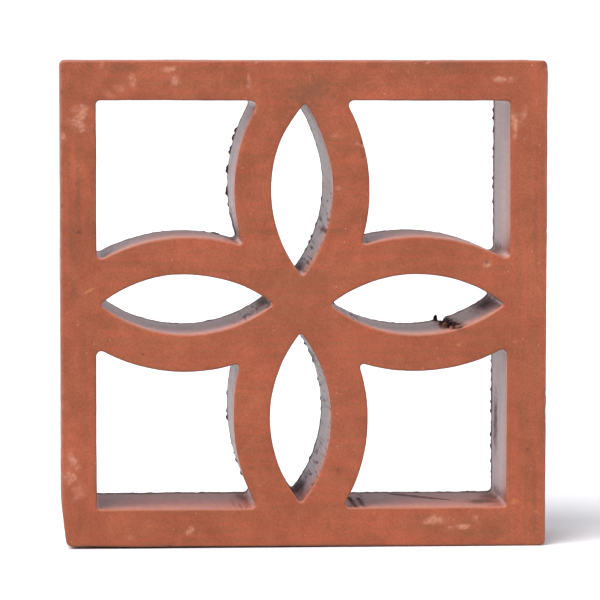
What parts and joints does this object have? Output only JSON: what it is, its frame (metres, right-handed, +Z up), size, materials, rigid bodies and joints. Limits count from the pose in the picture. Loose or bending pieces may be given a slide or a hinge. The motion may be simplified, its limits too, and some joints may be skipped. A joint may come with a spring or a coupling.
{
  "type": "terracotta screen block",
  "caption": "Square fired clay screen block, pierced through in a flower of open pointed petals with open corners, set on edge in screen walls that let air and light through.",
  "frame": {"origin": "middle of the bottom bed face, halfway through the block's depth, with the block standing on edge as it is laid", "axes": "+X along the wall to the right as seen from the front, +Y through the wall from the pierced front face to the back face, +Z up"},
  "size_m": [0.2, 0.06, 0.2],
  "materials": {
    "terracotta": "matte"
  },
  "bodies": {
    "root": {"screen_block": "terracotta"}
  },
  "joints": []
}
